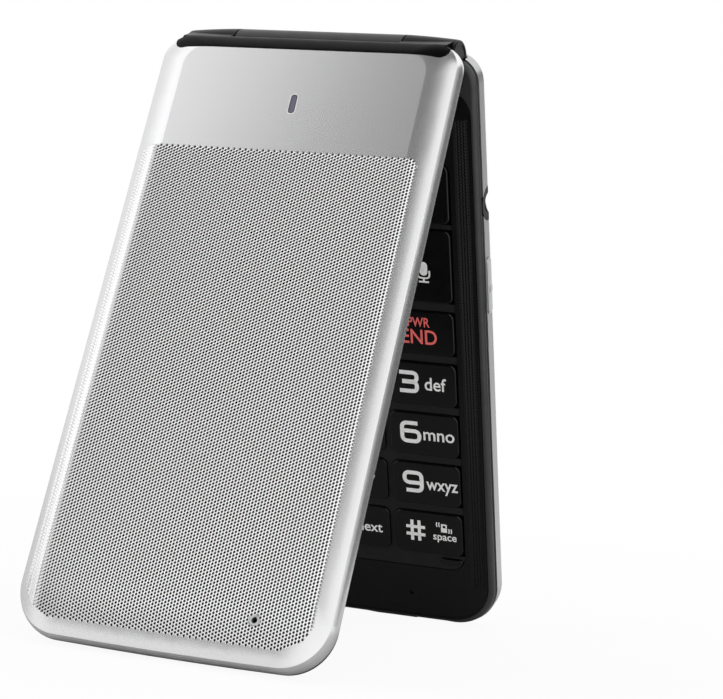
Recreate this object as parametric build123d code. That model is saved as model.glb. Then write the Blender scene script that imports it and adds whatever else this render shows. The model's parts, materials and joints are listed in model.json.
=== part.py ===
from build123d import *
import os

# A clamshell telephone standing like a tent on the free ends of its two halves, hinge uppermost.
# Every piece is drawn in the face frame of its own half, in millimetres:
#   x  across the half from its middle,
#   y  down the half from the hinge axis towards the free end,
#   z  away from the hinge plane, which is where the two halves meet when the telephone is shut.
# The base half holds the keypad and faces forward. The lid half holds the display and leans the
# other way, so its x counts towards the viewer's left.

# ---- Overall sizes ----
width = 54.0                # across both halves
reach = 106.6               # hinge axis to the middle of the free end
rise = 0.7                  # shell tops stand this far beyond the hinge axis
bow = 0.4                   # the free end is this much shorter at its sides than in its middle
lid_depth = 7.0             # hinge plane to the lid's front
base_depth = 10.0           # hinge plane to the battery cover's back
foot_corner = 8.0           # corner radius at the free ends
head_corner = 4.8           # corner radius at the hinge
lean = 21.67                # each half leans this far from upright, in degrees

# ---- Where the shells divide, measured from the hinge plane ----
face_gap = 0.55             # to each inner face
lid_split = 3.4             # lid: dark inner frame, then silver cover
base_split = 2.36           # base: dark front shell, then silver middle shell
cover_split = 4.74          # base: middle shell, then battery cover
seam = 0.05                 # shut line between two shells
wall = 1.4                  # thickness of the middle shell's side wall
skin = 1.1                  # thickness of the lid cover's front and the battery cover's back
play = 0.1                  # room around a loose or moving piece
frame_side = 0.85           # lid: the inner frame stands back this far from the cover's sides
frame_foot = 0.4            # and this far from its free end, where the lid stands on it
shell_foot = 0.35           # base: the front shell stands back this far at the free end

# ---- Hinge ----
barrel_radius = 4.3
barrel_taper = 0.5          # the outer knuckles are this much slimmer at their ends
barrel_room = 0.25          # shells stay this far from the barrel
barrel_side = 3.0           # shell side to the end of the barrel without its caps
centre_half = 15.1          # half length of the base's centre knuckle
cap_length = 0.6            # shallow cap at each end
knuckle_gap = 0.25          # running gap between knuckles
pin_radius = 1.5
pin_play = 0.05
cartridge_radius = 2.95
trim_drop = 2.3             # black trim ends this far below the axis on the lid's front
trim_dip = 0.4              # and this much lower near its ends
trim_edge = 0.18            # chamfer of the cover along the trim

# ---- Keypad ----
pad_margin = 5.25           # shell side to the keypad opening
pad_top = 17.0
pad_below = 3.09            # last row to the opening's lower edge
key_pitch = 9.74            # row to row
row_top = 44.85             # top of the row of call keys
row_gap = 1.54              # between rows
key_gap = 1.05              # between columns
nav_top = 18.0              # top of the soft keys and the four-way ring
nav_bottom = 43.2           # bottom of the ring and the keys beside it
soft_height = 10.7
side_gap = 0.3              # outer keys to the pad's opening
centre_key_width = 14.9
key_corner = 1.3
key_rise = 0.35             # key tops stand this far out of the inner face
key_thickness = 1.1
key_travel = 0.35
nav_width = 24.4
nav_radius = 6.5            # corner of the four-way ring
ok_radius = 4.9
plunger_radius = 1.0

# ---- Boards and the stack behind the keys, from the hinge plane ----
rubber_near = 1.95
rubber_far = 2.55
board_near = 2.95
board_far = 3.75
deck_near = 4.14            # middle shell's deck, which carries the battery

# ---- Side controls and sockets ----
side_centre = 3.5           # their height from the hinge plane
rocker_top = 22.2
rocker_length = 19.8
rocker_height = 1.75
side_key_top = 35.2
side_key_length = 10.1
side_proud = 0.35           # side controls stand out this far
nub_height = 0.15           # the nub on the side key, and the rocker, stand out this much more
side_travel = 0.35
flange_room = 0.4           # side wall to the flange that keeps a side control in
flange_thickness = 0.6
jack_y = 25.7
jack_z = 4.9
jack_bore = 1.75            # radius, for a 3.5 mm plug
jack_depth = 14.0           # of the bore
jack_end = 0.6              # wall behind the bore
jack_collar = 3.0           # radius
jack_collar_depth = 2.5
jack_half = 2.3             # half the socket body's thickness
jack_half_length = 3.0      # half its size along the base
usb_y = 86.75
usb_z = 3.55
usb_width = 7.1
usb_height = 2.3
usb_depth = 5.0

# ---- Display and earpiece ----
window_half = 23.6
window_top = 12.0
window_bottom = 95.0
window_thickness = 0.9
panel_half = 22.0
panel_top = 17.0
panel_bottom = 84.0
panel_far = 4.3
earpiece_y = 8.7
earpiece_width = 9.0
earpiece_slot = 1.2

# ---- Lid front ----
led_y = 12.64
led_height = 3.4
led_width = 1.1
mic_hole_x = 14.6
mic_hole_y = 99.5
mic_hole_radius = 0.5

# ---- Battery and modules ----
battery_half = 20.0
battery_top = 49.0
battery_foot = 8.1          # battery to the free end
battery_near = 4.84
camera_y = 11.5
camera_radius = 3.2
mic_x = 10.9
mic_rise = 5.9              # microphone to the free end
speaker_side = 11.4         # shell side to the loudspeaker's middle
slit_pitch = 1.7            # the loudspeaker's slits in the battery cover
magnet_side = 9.0           # shell side to the lid's magnet

# ---- Fasteners ----
screw_radius = 0.7
screw_head = 1.3
screw_head_height = 0.5
bezel_margin = 1.2          # shell side to the keypad bezel's edge
bezel_thickness = 0.8

half_width = width / 2
plunger_end = rubber_near - key_travel - 0.05
flange_x = half_width - wall - flange_room
jack_inner = half_width - jack_depth - jack_end
jack_collar_x = half_width - jack_collar_depth
pad_half = half_width - pad_margin
key_height = key_pitch - row_gap
pad_bottom = row_top + 4 * key_pitch + key_height + pad_below
barrel_clear = barrel_radius + barrel_room
barrel_half = half_width - barrel_side    # half length of the barrel without its caps
barrel_end = barrel_half + cap_length
end_radius = barrel_radius - barrel_taper
cheek_inside = barrel_end + play          # shells leave the caps free up to here
trim_half = barrel_end + 0.15
bay_far = base_depth - skin               # inside of the battery cover
speaker_x = speaker_side - half_width
magnet_x = half_width - magnet_side
battery_bottom = reach - battery_foot
screw_x = half_width - 4.1
base_screw_rows = (10.0, reach - 5.6)
lid_screw_x = half_width - 4.9
lid_screw_rows = (8.8, reach - 8.0)
bumper_proud = 0.6
pill_half = 2.15            # rubber stops in the keypad mat under the last row
pill_x = pad_half - 2.7
pill_y = pad_bottom - 1.7
pill_radius = 0.6

# Section tables: distance from the hinge plane, then how far the outline has drawn in
# at the sides, at the free end and at the hinge end.
LID_SIDE = (
    (lid_split, 0.0, 0.0, 0.0),
    (lid_depth - 2.4, 0.1, 0.1, 0.1),
    (lid_depth - 1.27, 0.45, 0.45, 0.45),
)
LID_FRONT = (
    (lid_depth - 1.27, 0.45, 0.45, 0.45),
    (lid_depth - 0.85, 1.45, 1.9, 0.9),
    (lid_depth - 0.45, 2.7, 3.9, 1.6),
    (lid_depth - 0.15, 3.9, 6.4, 2.4),
    (lid_depth, 5.1, 9.2, 3.1),
)
COVER_LIP = (
    (cover_split, 0.22, 0.25, 0.35),
    (cover_split + 0.3, 0.03, 0.06, 0.16),
)
COVER_SIDE = (
    (cover_split + 0.3, 0.03, 0.06, 0.16),
    (base_depth - 3.7, 0.9, 0.95, 0.4),
    (base_depth - 1.4, 2.5, 3.1, 1.1),
)
COVER_BACK = (
    (base_depth - 1.4, 2.5, 3.1, 1.1),
    (base_depth - 0.9, 3.0, 4.1, 1.5),
    (base_depth - 0.25, 4.2, 5.6, 2.4),
    (base_depth, 5.1, 7.3, 3.3),
)


def block(x0, x1, y0, y1, z0, z1):
    """A box given by its bounds in the face frame."""
    return Pos((x0 + x1) / 2, (y0 + y1) / 2, (z0 + z1) / 2) * Box(x1 - x0, y1 - y0, z1 - z0)


def plate(sketch, near, far):
    """A sketch of the face made solid between two distances from the hinge plane."""
    return Pos(0, 0, near) * extrude(sketch, far - near)


def rounded(x0, x1, y0, y1, radius):
    """A rounded rectangle given by its bounds."""
    return Pos((x0 + x1) / 2, (y0 + y1) / 2) * RectangleRounded(x1 - x0, y1 - y0, radius)


def post(x, y, radius, near, far):
    """A round post or hole standing away from the hinge plane."""
    return Pos(x, y, (near + far) / 2) * Cylinder(radius, far - near)


def bar(radius, x0, x1):
    """A round bar along the hinge axis."""
    return Pos((x0 + x1) / 2, 0, 0) * Rot(0, 90, 0) * Cylinder(radius, x1 - x0)


def outline(side=0.0, foot=0.0, head=0.0):
    """The half's outline in its face, drawn in by so much at the sides and at each end."""
    half = half_width - side
    top = head - rise
    low = reach - foot
    corner = low - bow
    edges = [
        Line((-half, corner), (-half, top)),
        Line((-half, top), (half, top)),
        Line((half, top), (half, corner)),
        ThreePointArc((half, corner), (0, low), (-half, corner)),
    ]
    face = make_face(edges)
    face = fillet(face.vertices().group_by(Axis.Y)[0], max(head_corner - side / 4, 0.6))
    return fillet(face.vertices().group_by(Axis.Y)[-1], max(foot_corner - side / 2, 1.0))


def skin_loft(table):
    """A smooth solid through the outlines of a section table."""
    return loft([Pos(0, 0, z) * outline(side, foot, head) for z, side, foot, head in table])


def side_plate(sketch, x0, x1):
    """A sketch of the side wall, with z across and y up it, made solid between two distances across."""
    face = Plane(origin=(x0, 0, 0), x_dir=(0, 0, 1), z_dir=(-1, 0, 0)) * sketch
    return extrude(face, x0 - x1)


def mirrored(solid):
    """A solid and its twin on the other side of the middle."""
    return [solid, mirror(solid, about=Plane.YZ)]


# ---- Hinge pieces ----

def clearance_barrel():
    """What every shell keeps clear so that the knuckles and caps can turn."""
    return bar(barrel_clear, -cheek_inside, cheek_inside)


def centre_knuckle():
    """The base's part of the barrel, with the tongue that the shells clamp."""
    knuckle = bar(barrel_radius, -centre_half, centre_half)
    tongue = block(-centre_half + play, centre_half - play, 0, 6.0, face_gap + bezel_thickness + seam,
                   deck_near - play)
    return knuckle + tongue - bar(cartridge_radius + seam, -centre_half, centre_half)


def hinge_cartridge():
    """The spring and cam unit that holds the lid at its stops."""
    can = bar(cartridge_radius, 3.0, centre_half - play)
    collar = bar(cartridge_radius - 0.4, 2.2, 3.0)
    return can + collar - bar(pin_radius + pin_play, 0, centre_half)


def hinge_bush():
    """The plain bearing at the other end of the centre knuckle."""
    bush = bar(cartridge_radius, -centre_half + play, -centre_half + 3.6)
    return bush - bar(pin_radius + pin_play, -centre_half, 0)


def hinge_pins():
    """Two pins that turn with the lid, one in the cartridge and one in the bush."""
    inner_end = barrel_half - 1.4
    return [bar(pin_radius, 3.4, inner_end), bar(pin_radius, -inner_end, -centre_half + 3.4)]


def flex_coil():
    """The coiled ribbon that carries the display's signals through the centre knuckle."""
    coil = bar(cartridge_radius - 0.15, -centre_half + 4.6, 1.2)
    return coil - bar(cartridge_radius - 0.4, -centre_half, 2)


def turned(edges):
    """A solid of revolution on the hinge axis, from edges drawn as radius and distance along it."""
    return Rot(0, 90, 0) * revolve(Plane.XZ * make_face(edges), Axis.Z)


def outer_knuckle():
    """The lid's knuckle on the right of the barrel, with the web that joins it to the trim."""
    inner_end = centre_half + knuckle_gap
    middle = (inner_end + barrel_half) / 2
    knuckle = turned([
        Line((0, inner_end), (barrel_radius, inner_end)),
        ThreePointArc((barrel_radius, inner_end), (barrel_radius - barrel_taper * 0.35, middle),
                      (end_radius, barrel_half)),
        Line((end_radius, barrel_half), (0, barrel_half)),
        Line((0, barrel_half), (0, inner_end)),
    ])
    web_face = Polyline((1.6, 5.0), (lid_depth - skin - seam, 5.0), (lid_depth - skin - seam, 0.2),
                        (lid_depth - 1.4, -0.25), (3.0, -2.3), (1.6, -2.3), close=True)
    web = side_plate(make_face(web_face), barrel_half - play, inner_end)
    pin_hole = bar(pin_radius + pin_play / 2, 0, barrel_half - 1.4 + play)
    cap_seat = bar(2.5, barrel_half - 1.4, barrel_half)
    return knuckle + web - pin_hole - cap_seat


def hinge_end_cap():
    """A shallow cap on the right end of the barrel: a raised ring round a flat disc, and a spigot."""
    seat = barrel_half - 1.25
    spigot = 2.45
    rim = end_radius - 0.06
    ring = end_radius * 0.78
    disc = barrel_end - 0.12
    return turned([
        Line((0, seat), (spigot, seat)),
        Line((spigot, seat), (spigot, barrel_half)),
        Line((spigot, barrel_half), (rim, barrel_half)),
        Line((rim, barrel_half), (rim, barrel_end - 0.3)),
        ThreePointArc((rim, barrel_end - 0.3), (rim - 0.09, barrel_end - 0.09), (rim - 0.3, barrel_end)),
        Line((rim - 0.3, barrel_end), (ring + 0.15, barrel_end)),
        Line((ring + 0.15, barrel_end), (ring, disc)),
        Line((ring, disc), (0, disc)),
        Line((0, disc), (0, seat)),
    ])


def hinge_end_caps():
    """Both caps, one at each end of the barrel."""
    return [hinge_end_cap(), Rot(0, 180, 0) * hinge_end_cap()]


# ---- Lid half ----

def lid_outer():
    """The lid's silver outside as one solid, before it is hollowed."""
    return skin_loft(LID_SIDE) + skin_loft(LID_FRONT)


def trim_face(gap=0.0):
    """The trim's outline on the lid's front: a strip whose lower edge dips towards its round ends."""
    side = trim_half + gap
    low = trim_drop + gap
    bend = (trim_half - 7.5, low)
    lobe = (trim_half - 1.85, low + trim_dip)
    dip = TangentArc(bend, lobe, tangent=(1, 0))
    corner = TangentArc(lobe, (side, low - 1.1), tangent=dip % 1)
    right = [dip, corner, Line((side, low - 1.1), (side, -8))]
    left = [mirror(edge, about=Plane.YZ) for edge in right]
    return make_face([*right, *left, Line((-bend[0], low), bend), Line((-side, -8), (side, -8))])


def trim_region(gap=0.0):
    """The strip along the top of the lid's front that the black trim fills."""
    return plate(trim_face(gap), 0, lid_depth + 1)


def trim_bevel():
    """What bevels the cover's flat front along the trim."""
    near = Pos(0, 0, lid_depth - trim_edge) * trim_face(seam)
    far = Pos(0, 0, lid_depth + trim_edge) * trim_face(seam + 2 * trim_edge)
    return loft([near, far], ruled=True)


def lid_cover():
    """The silver front shell of the lid."""
    cavity_foot = reach - 4.6
    cavity = plate(rounded(2.5 - half_width, half_width - 2.5, -8, cavity_foot, 4.0), 0, lid_depth - skin)
    shell = lid_outer() - cavity - trim_region(seam) - trim_bevel() - clearance_barrel()
    for x in (-lid_screw_x, lid_screw_x):
        for y in lid_screw_rows:
            boss = post(x, y, 1.7, lid_split + seam, lid_depth - skin)
            shell = shell + boss - post(x, y, screw_radius + 0.02, lid_split, lid_depth - skin - 0.3)
    led_slot = plate(rounded(-led_width / 2, led_width / 2, led_y - led_height / 2, led_y + led_height / 2,
                             led_width * 0.49), lid_depth - 2, lid_depth + 1)
    return shell - led_slot - post(-mic_hole_x, mic_hole_y, mic_hole_radius, lid_depth - 3, lid_depth + 1)


def hinge_trim():
    """The lid's black hinge cover: the strip on its front edge and both outer knuckles."""
    strip = lid_outer() & trim_region() & block(-60, 60, -8, 20, lid_split, 20)
    tongue = block(-trim_half + 0.4, trim_half - 0.4, 1.0, 6.6, lid_depth - 2.3, lid_depth - skin - seam)
    trim = strip + tongue - bar(barrel_clear, -centre_half - knuckle_gap, centre_half + knuckle_gap)
    trim = trim - bar(barrel_clear, -60, -barrel_half) - bar(barrel_clear, barrel_half, 60)
    for knuckle in mirrored(outer_knuckle()):
        trim = trim + knuckle
    return trim - bar(pin_radius + pin_play / 2, -barrel_half + 1.3, barrel_half - 1.3)


def frame_blank(depth, side, foot, radius):
    """The outline plate of a dark inner shell, with its inner edge rounded."""
    blank = plate(outline(side, foot, 0), face_gap, depth)
    rim = blank.faces().sort_by(Axis.Z)[0].edges()
    return fillet(rim, radius)


def head_slope(top, low):
    """What comes off a shell's inner corner at the hinge, so that the halves pass each other.

    top is where the slope meets the shell's top and low is where it meets the inner face.
    """
    top_z = top + (top - face_gap) * (6 - rise) / (low + rise)
    wedge = make_face(Polyline((-6, -6), (top_z, -6), (face_gap, low), (-6, low), close=True))
    return side_plate(wedge, width, -width)


def lid_inner_frame():
    """The dark frame around the display, with the grooves that show from the side."""
    frame = frame_blank(lid_split - seam, frame_side, frame_foot, 0.8)
    groove_outer = plate(outline(-2, -2, -2), 2.56, 2.9)
    groove_inner = plate(outline(frame_side + 0.55, frame_foot + 0.55, 0), 2.56, 2.9)
    frame = frame - (groove_outer - groove_inner)
    frame = frame - clearance_barrel() - block(-trim_half - play, trim_half + play, -8, 5.1, -1, 8)
    frame = frame - head_slope(2.9, 3.3)
    window_seat = rounded(-window_half - play, window_half + play, window_top - play,
                          window_bottom + play, 2.0)
    panel_hole = rounded(-panel_half - play, panel_half + play, panel_top - play, panel_bottom + play, 0.8)
    frame = frame - plate(window_seat, -1, face_gap + 0.05 + window_thickness) - plate(panel_hole, 0, 8)
    slot = rounded(-earpiece_width / 2, earpiece_width / 2, earpiece_y - earpiece_slot / 2,
                   earpiece_y + earpiece_slot / 2, earpiece_slot * 0.49)
    frame = frame - plate(slot, -1, 8)
    for x in (-lid_screw_x, lid_screw_x):
        for y in lid_screw_rows:
            frame = frame - post(x, y, 1.5, -1, 2.0) - post(x, y, screw_radius + 0.1, 0, 8)
    return frame - post(magnet_x, reach - 7.6, 1.9, 2.0, 8)


def display_window():
    """The clear window over the display."""
    near = face_gap + 0.05
    pane = plate(rounded(-window_half, window_half, window_top, window_bottom, 1.9), near,
                 near + window_thickness)
    return chamfer(pane.faces().sort_by(Axis.Z)[0].edges(), 0.15)


def display_panel():
    """The liquid crystal panel and its backlight."""
    near = face_gap + window_thickness + 0.1
    sheet = plate(rounded(-panel_half, panel_half, panel_top, panel_bottom, 0.7), near, near + 0.9)
    light = plate(rounded(-panel_half + 0.4, panel_half - 0.4, panel_top + 0.4, panel_bottom - 0.4, 0.5),
                  near + 0.9, panel_far)
    return sheet + light


def earpiece_mesh():
    """The woven screen in the earpiece slot."""
    half = earpiece_width / 2 - seam
    return plate(rounded(-half, half, earpiece_y - earpiece_slot / 2 + seam,
                         earpiece_y + earpiece_slot / 2 - seam, 0.5), face_gap + 0.15, 2.4)


def earpiece():
    """The receiver capsule behind the slot."""
    return block(-6, 6, earpiece_y - 2.0, earpiece_y + 3.4, lid_split, lid_split + 1.2)


def led_lens():
    """The slim light pipe in the lid's front, with its flange inside."""
    lens = rounded(-led_width / 2 + 0.03, led_width / 2 - 0.03, led_y - led_height / 2 + 0.03,
                   led_y + led_height / 2 - 0.03, 0.5)
    flange = rounded(-1.1, 1.1, led_y - 2.3, led_y + 2.3, 0.8)
    return plate(lens, lid_depth - skin - 0.6, lid_depth - 0.04) + plate(
        flange, lid_depth - skin - 0.7, lid_depth - skin - seam)


def lid_magnet():
    """The magnet that tells the base the lid is shut."""
    return post(magnet_x, reach - 7.6, 1.8, 2.05, lid_split)


def lid_screws():
    """Four screws that draw the frame to the cover."""
    screws = []
    for x in (-lid_screw_x, lid_screw_x):
        for y in lid_screw_rows:
            head = post(x, y, screw_head, 2.0 - screw_head_height, 2.0)
            head = head - block(x - 1, x + 1, y - 0.15, y + 0.15, 1, 1.7)
            screws.append(head + post(x, y, screw_radius, 2.0, 5.2))
    return screws


def lid_bumpers():
    """Rubber buttons over the screw heads, which meet the base when the lid is shut."""
    bumpers = []
    for x in (-lid_screw_x, lid_screw_x):
        for y in lid_screw_rows:
            button = post(x, y, 1.42, face_gap - bumper_proud, 2.0 - screw_head_height - seam)
            bumpers.append(fillet(button.faces().sort_by(Axis.Z)[0].edges(), 0.3))
    return bumpers


# ---- Base half ----

def pad_opening(grow=0.0):
    """The keypad opening, or a plate that fits it."""
    return rounded(-pad_half - grow, pad_half + grow, pad_top - grow, pad_bottom + grow, 3.0)


def bezel_outline(inset=0.0):
    """The plate around the keys: the half's outline drawn in, ending below the hinge."""
    margin = bezel_margin + inset
    return outline(margin, margin, rise + barrel_clear + 0.45 + inset)


def base_front_shell():
    """The dark shell around the keypad."""
    shell = frame_blank(base_split - seam, 0.1, shell_foot, 0.85)
    groove_outer = plate(outline(-2, -2, -2), 1.6, base_split)
    groove_inner = plate(outline(0.75, 0.75, 0), 1.6, base_split)
    shell = shell - (groove_outer - groove_inner)
    shell = shell - clearance_barrel() - head_slope(1.3, 1.2)
    shell = shell - block(-centre_half, centre_half, -8, 6.1, -1, 8)
    shell = shell - plate(bezel_outline(-play), -1, face_gap + bezel_thickness)
    shell = shell - plate(pad_opening(play), -1, 8)
    for x in (-screw_x, screw_x):
        for y in base_screw_rows:
            shell = shell + post(x, y, 1.4, base_split - 0.4, board_near - 0.02)
            shell = shell - post(x, y, screw_radius + 0.02, face_gap + bezel_thickness + 0.4, 8)
    shell = shell - jack_socket_hole()
    return shell - post(mic_x, reach - mic_rise, 0.4, -1, 8) - post(mic_x, reach - mic_rise, 2.1, 1.7, 8)


def keypad_bezel():
    """The plate that frames the keys, with a fine raised lip all round."""
    near = face_gap - 0.02
    body = plate(bezel_outline(), near, face_gap + bezel_thickness - seam)
    lip = plate(bezel_outline() - bezel_outline(0.28), near - 0.12, near + 0.1)
    return body + lip - plate(pad_opening(), -1, 4) - post(mic_x, reach - mic_rise, 0.4, -1, 4)


def key_columns():
    """Left and right bounds of the three key columns."""
    centre = centre_key_width / 2
    edge = pad_half - side_gap
    return ((-edge, -centre - key_gap), (-centre, centre), (centre + key_gap, edge))


def key_blank(sketch, plunger_x, plunger_y):
    """A key cap with softened edges and the plunger that works its dome."""
    near = face_gap - key_rise
    cap = plate(sketch, near, near + key_thickness)
    cap = fillet(cap.faces().sort_by(Axis.Z)[0].edges(), 0.28)
    return cap + post(plunger_x, plunger_y, plunger_radius, near + key_thickness, plunger_end)


def key_layout():
    """Name, bounds and plunger place of every plain key on the pad."""
    left, centre, right = key_columns()
    rows = [row_top + key_pitch * index for index in range(5)]
    names = (
        ("key_send", "key_clear", "key_end"),
        ("key_1", "key_2", "key_3"),
        ("key_4", "key_5", "key_6"),
        ("key_7", "key_8", "key_9"),
        ("key_star", "key_0", "key_hash"),
    )
    keys = {}
    for top, row in zip(rows, names):
        for bounds, name in zip((left, centre, right), row):
            keys[name] = (bounds[0], bounds[1], top, top + key_height)
    nav_edge = nav_width / 2 + key_gap
    edge = pad_half - side_gap
    soft_bottom = nav_top + soft_height
    keys["key_soft_left"] = (-edge, -nav_edge, nav_top, soft_bottom)
    keys["key_soft_right"] = (nav_edge, edge, nav_top, soft_bottom)
    keys["key_camera"] = (-edge, -nav_edge, soft_bottom + key_gap, nav_bottom)
    keys["key_voice"] = (nav_edge, edge, soft_bottom + key_gap, nav_bottom)
    return keys


def plunger_place(name, bounds):
    """A plunger stands under its key's middle, or near the top of a soft key, above the socket."""
    x0, x1, y0, y1 = bounds
    if name.startswith("key_soft"):
        return (x0 + x1) / 2, y0 + 1.9
    return (x0 + x1) / 2, (y0 + y1) / 2


def plain_keys():
    """All keys but the four-way ring and the one in its middle."""
    keys = {}
    for name, bounds in key_layout().items():
        px, py = plunger_place(name, bounds)
        keys[name] = key_blank(rounded(*bounds, key_corner), px, py)
    return keys


def nav_centre():
    """Middle of the four-way ring, down the base from the hinge axis."""
    return (nav_top + nav_bottom) / 2


def nav_face(grow=0.0):
    """The ring's outer outline, or the pocket it works in."""
    half = nav_width / 2 + grow
    return rounded(-half, half, nav_top - grow, nav_bottom + grow, nav_radius + grow)


def nav_plungers():
    """The ring works four domes, one under each side."""
    y = nav_centre()
    across = (nav_width / 2 + ok_radius) / 2
    down = ((nav_bottom - nav_top) / 2 + ok_radius) / 2
    return [(-across, y), (across, y), (0, y - down), (0, y + down)]


def nav_ring():
    """The four-way ring."""
    near = face_gap - key_rise
    ring = plate(nav_face(), near, near + key_thickness)
    ring = fillet(ring.faces().sort_by(Axis.Z)[0].edges(), 0.28)
    ring = ring - post(0, nav_centre(), ok_radius + 0.25, -1, 4)
    for x, y in nav_plungers():
        ring = ring + post(x, y, plunger_radius, near + key_thickness, plunger_end)
    return ring


def key_ok():
    """The round key inside the ring."""
    return key_blank(Pos(0, nav_centre()) * Circle(ok_radius), 0, nav_centre())


def dome_places():
    """Where the board has a snap dome."""
    places = [plunger_place(name, bounds) for name, bounds in key_layout().items()]
    return places + [(0, nav_centre())] + nav_plungers()


def key_pocket(bounds):
    """Room for one key in the mat; an outer key's pocket runs out past the pad's edge."""
    x0, x1, y0, y1 = bounds
    left = -half_width if x0 < -pad_half + 1 else x0 - play
    right = half_width if x1 > pad_half - 1 else x1 + play
    return plate(rounded(left, right, y0 - play, y1 + play, key_corner + play), -1, rubber_near)


def keypad_mat():
    """The rubber mat that fills the pad between the keys, seals it and returns the keys."""
    mat = plate(pad_opening(-play), face_gap + 0.08, rubber_far)
    for bounds in key_layout().values():
        mat = mat - key_pocket(bounds)
    mat = mat - plate(nav_face(play), -1, rubber_near)
    for x in (-pill_x, pill_x):
        mat = mat - plate(pill_face(x, play), -1, face_gap + 0.9)
    for x, y in dome_places():
        mat = mat + post(x, y, 0.8, rubber_far, rubber_far + 0.08)
    return mat


def pill_face(x, grow=0.0):
    """A rubber stop's outline, or the hole it sits in."""
    return rounded(x - pill_half - grow, x + pill_half + grow, pill_y - pill_radius - grow,
                   pill_y + pill_radius + grow, pill_radius * 0.97 + grow)


def base_bumpers():
    """Two glossy stops in the mat, which the lid's frame meets when it is shut."""
    stops = []
    for x in (-pill_x, pill_x):
        stop = plate(pill_face(x), face_gap - 0.25, face_gap + 0.9)
        stops.append(fillet(stop.faces().sort_by(Axis.Z)[0].edges(), 0.2))
    return stops


def key_domes():
    """The film of snap domes on the board, with one dome under each plunger."""
    film = plate(pad_opening(-0.6), board_near - 0.09, board_near - 0.01)
    for x, y in dome_places():
        film = film + post(x, y, 2.0, rubber_far + 0.12, board_near - 0.05)
    return film - jack_notch() - usb_notch()


def jack_notch():
    """Room for the headset socket in the board, the deck and the battery cover."""
    half = jack_half_length + 0.3
    return block(jack_inner - 0.2, jack_collar_x + play, jack_y - half, jack_y + half, 0,
                 jack_z + jack_half + play)


def usb_notch():
    """Room for the charging socket."""
    return block(-half_width + 0.6, usb_depth + 0.3 - half_width, usb_y - usb_width / 2 - 0.2,
                 usb_y + usb_width / 2 + 0.2, 2.2, cover_split)


def main_board():
    """The circuit board."""
    half = flange_x - flange_thickness - side_travel - 0.3
    board = plate(rounded(-half, half, 7.0, reach - 2.6, 4.0), board_near, board_far)
    board = board - jack_notch() - usb_notch()
    for x in (-screw_x, screw_x):
        for y in base_screw_rows:
            board = board - post(x, y, screw_radius + 0.15, 0, 8)
    return board - post(mic_x, reach - mic_rise, 0.5, 0, 8)


def rocker_profile(grow=0.0):
    """The rocker's face seen from the side: straight towards the keypad, rounded behind."""
    half = rocker_height / 2 + grow
    y0 = rocker_top - grow
    y1 = rocker_top + rocker_length + grow
    face = make_face(Polyline((side_centre - half, y0), (side_centre + half, y0),
                              (side_centre + half, y1), (side_centre - half, y1), close=True))
    face = fillet(face.vertices().group_by(Axis.X)[-1], half * 0.9)
    return fillet(face.vertices().group_by(Axis.X)[0], 0.25)


def base_middle_shell():
    """The silver middle shell: the side walls and the deck that carries the battery."""
    shell = plate(outline(), base_split, cover_split)
    shell = shell - plate(outline(wall, wall, wall + 4.5), base_split - 1, deck_near)
    shell = shell - clearance_barrel() - block(-cheek_inside, cheek_inside, -8, 2.2, 0, 8)
    shell = shell - block(-centre_half, centre_half, -8, 6.1, 0, deck_near)
    for x in (-screw_x, screw_x):
        for y in base_screw_rows:
            shell = shell + post(x, y, 1.4, board_far + 0.02, deck_near)
            shell = shell - post(x, y, screw_radius + 0.1, 0, 8)
            shell = shell - post(x, y, screw_head + 0.1, cover_split - screw_head_height - 0.05, 8)
    shell = shell - jack_notch() - jack_socket_hole() - usb_notch()
    hole_x = flange_x - flange_thickness - side_travel
    shell = shell - side_plate(rocker_profile(play), -half_width - 2, -hole_x)
    shell = shell - side_plate(side_key_profile(play), hole_x, half_width + 2)
    shell = shell - side_plate(usb_profile(seam), -half_width - 1, usb_depth - half_width)
    return shell - block(-5.2, 5.2, 45.0, 48.6, deck_near - 1, 8)


def side_key_profile(grow=0.0):
    """The side key's face seen from the side."""
    half = rocker_height / 2 + grow
    return rounded(side_centre - half, side_centre + half, side_key_top - grow,
                   side_key_top + side_key_length + grow, half * 0.8)


def side_flange(top, length):
    """The flange inside the right wall that keeps a side control from falling out."""
    return block(flange_x - flange_thickness, flange_x, top - 0.7, top + length + 0.7,
                 side_centre - 0.6, side_centre + 0.55)


def volume_rocker():
    """The rocker on the left side, with its retaining flange inside the wall."""
    face_x = -half_width - side_proud - nub_height
    outer = side_plate(rocker_profile(), face_x, -flange_x + 0.1)
    outer = fillet(outer.faces().sort_by(Axis.X)[0].edges(), 0.15)
    middle = rocker_top + rocker_length / 2
    groove = block(face_x - 1, face_x + 0.25, middle - 0.5, middle + 0.5, 0, 8)
    return outer - groove + mirror(side_flange(rocker_top, rocker_length), about=Plane.YZ)


def side_key():
    """The key on the right side, with a small nub to feel for."""
    face_x = half_width + side_proud
    body = side_plate(side_key_profile(), flange_x - 0.1, face_x)
    body = fillet(body.faces().sort_by(Axis.X)[-1].edges(), 0.15)
    flange = side_flange(side_key_top, side_key_length)
    nub_y = side_key_top + side_key_length * 0.55
    nub = block(half_width, face_x + nub_height, nub_y - 0.5, nub_y + 0.5, side_centre - 0.6,
                side_centre + 0.6)
    return body + flange + nub


def jack_bar(radius, x0, x1):
    """A round bar on the headset socket's axis."""
    return Pos(0, jack_y, jack_z) * bar(radius, x0, x1)


def jack_socket_hole():
    """The round hole in the right side that the socket's collar fills."""
    return jack_bar(jack_collar + seam, jack_collar_x - play, half_width + 1)


def base_envelope():
    """The base's outside as one solid."""
    body = plate(outline(), 0, cover_split)
    return body + skin_loft(COVER_LIP) + skin_loft(COVER_SIDE) + skin_loft(COVER_BACK)


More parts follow.
